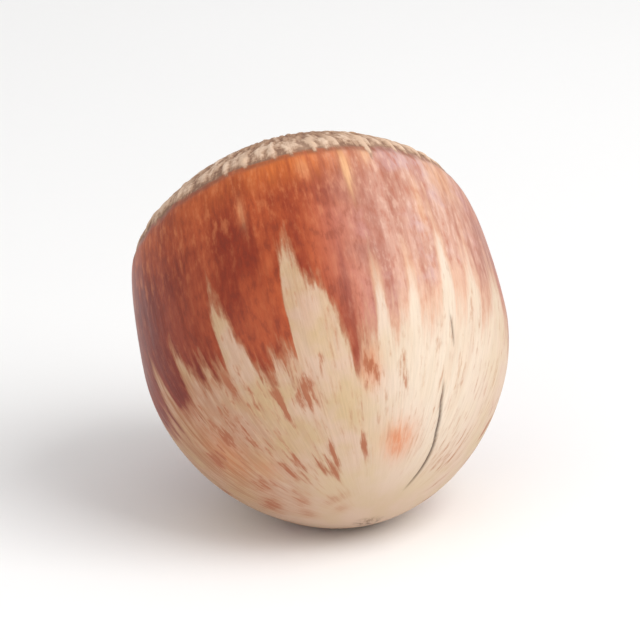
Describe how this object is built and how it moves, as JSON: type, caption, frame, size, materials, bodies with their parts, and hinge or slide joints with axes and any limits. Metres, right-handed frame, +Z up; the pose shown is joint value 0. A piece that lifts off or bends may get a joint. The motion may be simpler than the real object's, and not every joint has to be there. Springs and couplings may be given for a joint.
{
  "type": "hazelnut",
  "caption": "Whole hazelnut in its shell, round with a broad rough base scar and a blunt pointed end, resting on a small flat spot.",
  "frame": {"origin": "middle of the small flat spot underneath, on the surface that the nut lies on", "axes": "+Z up. The nut lies at a slant: its base scar faces up, back (+Y) and a little to -X, and its pointed end faces down and forward (-Y)"},
  "size_m": [0.0226, 0.023, 0.0234],
  "materials": {
    "shell": "satin"
  },
  "bodies": {
    "root": {"hazelnut": "shell"}
  },
  "joints": []
}
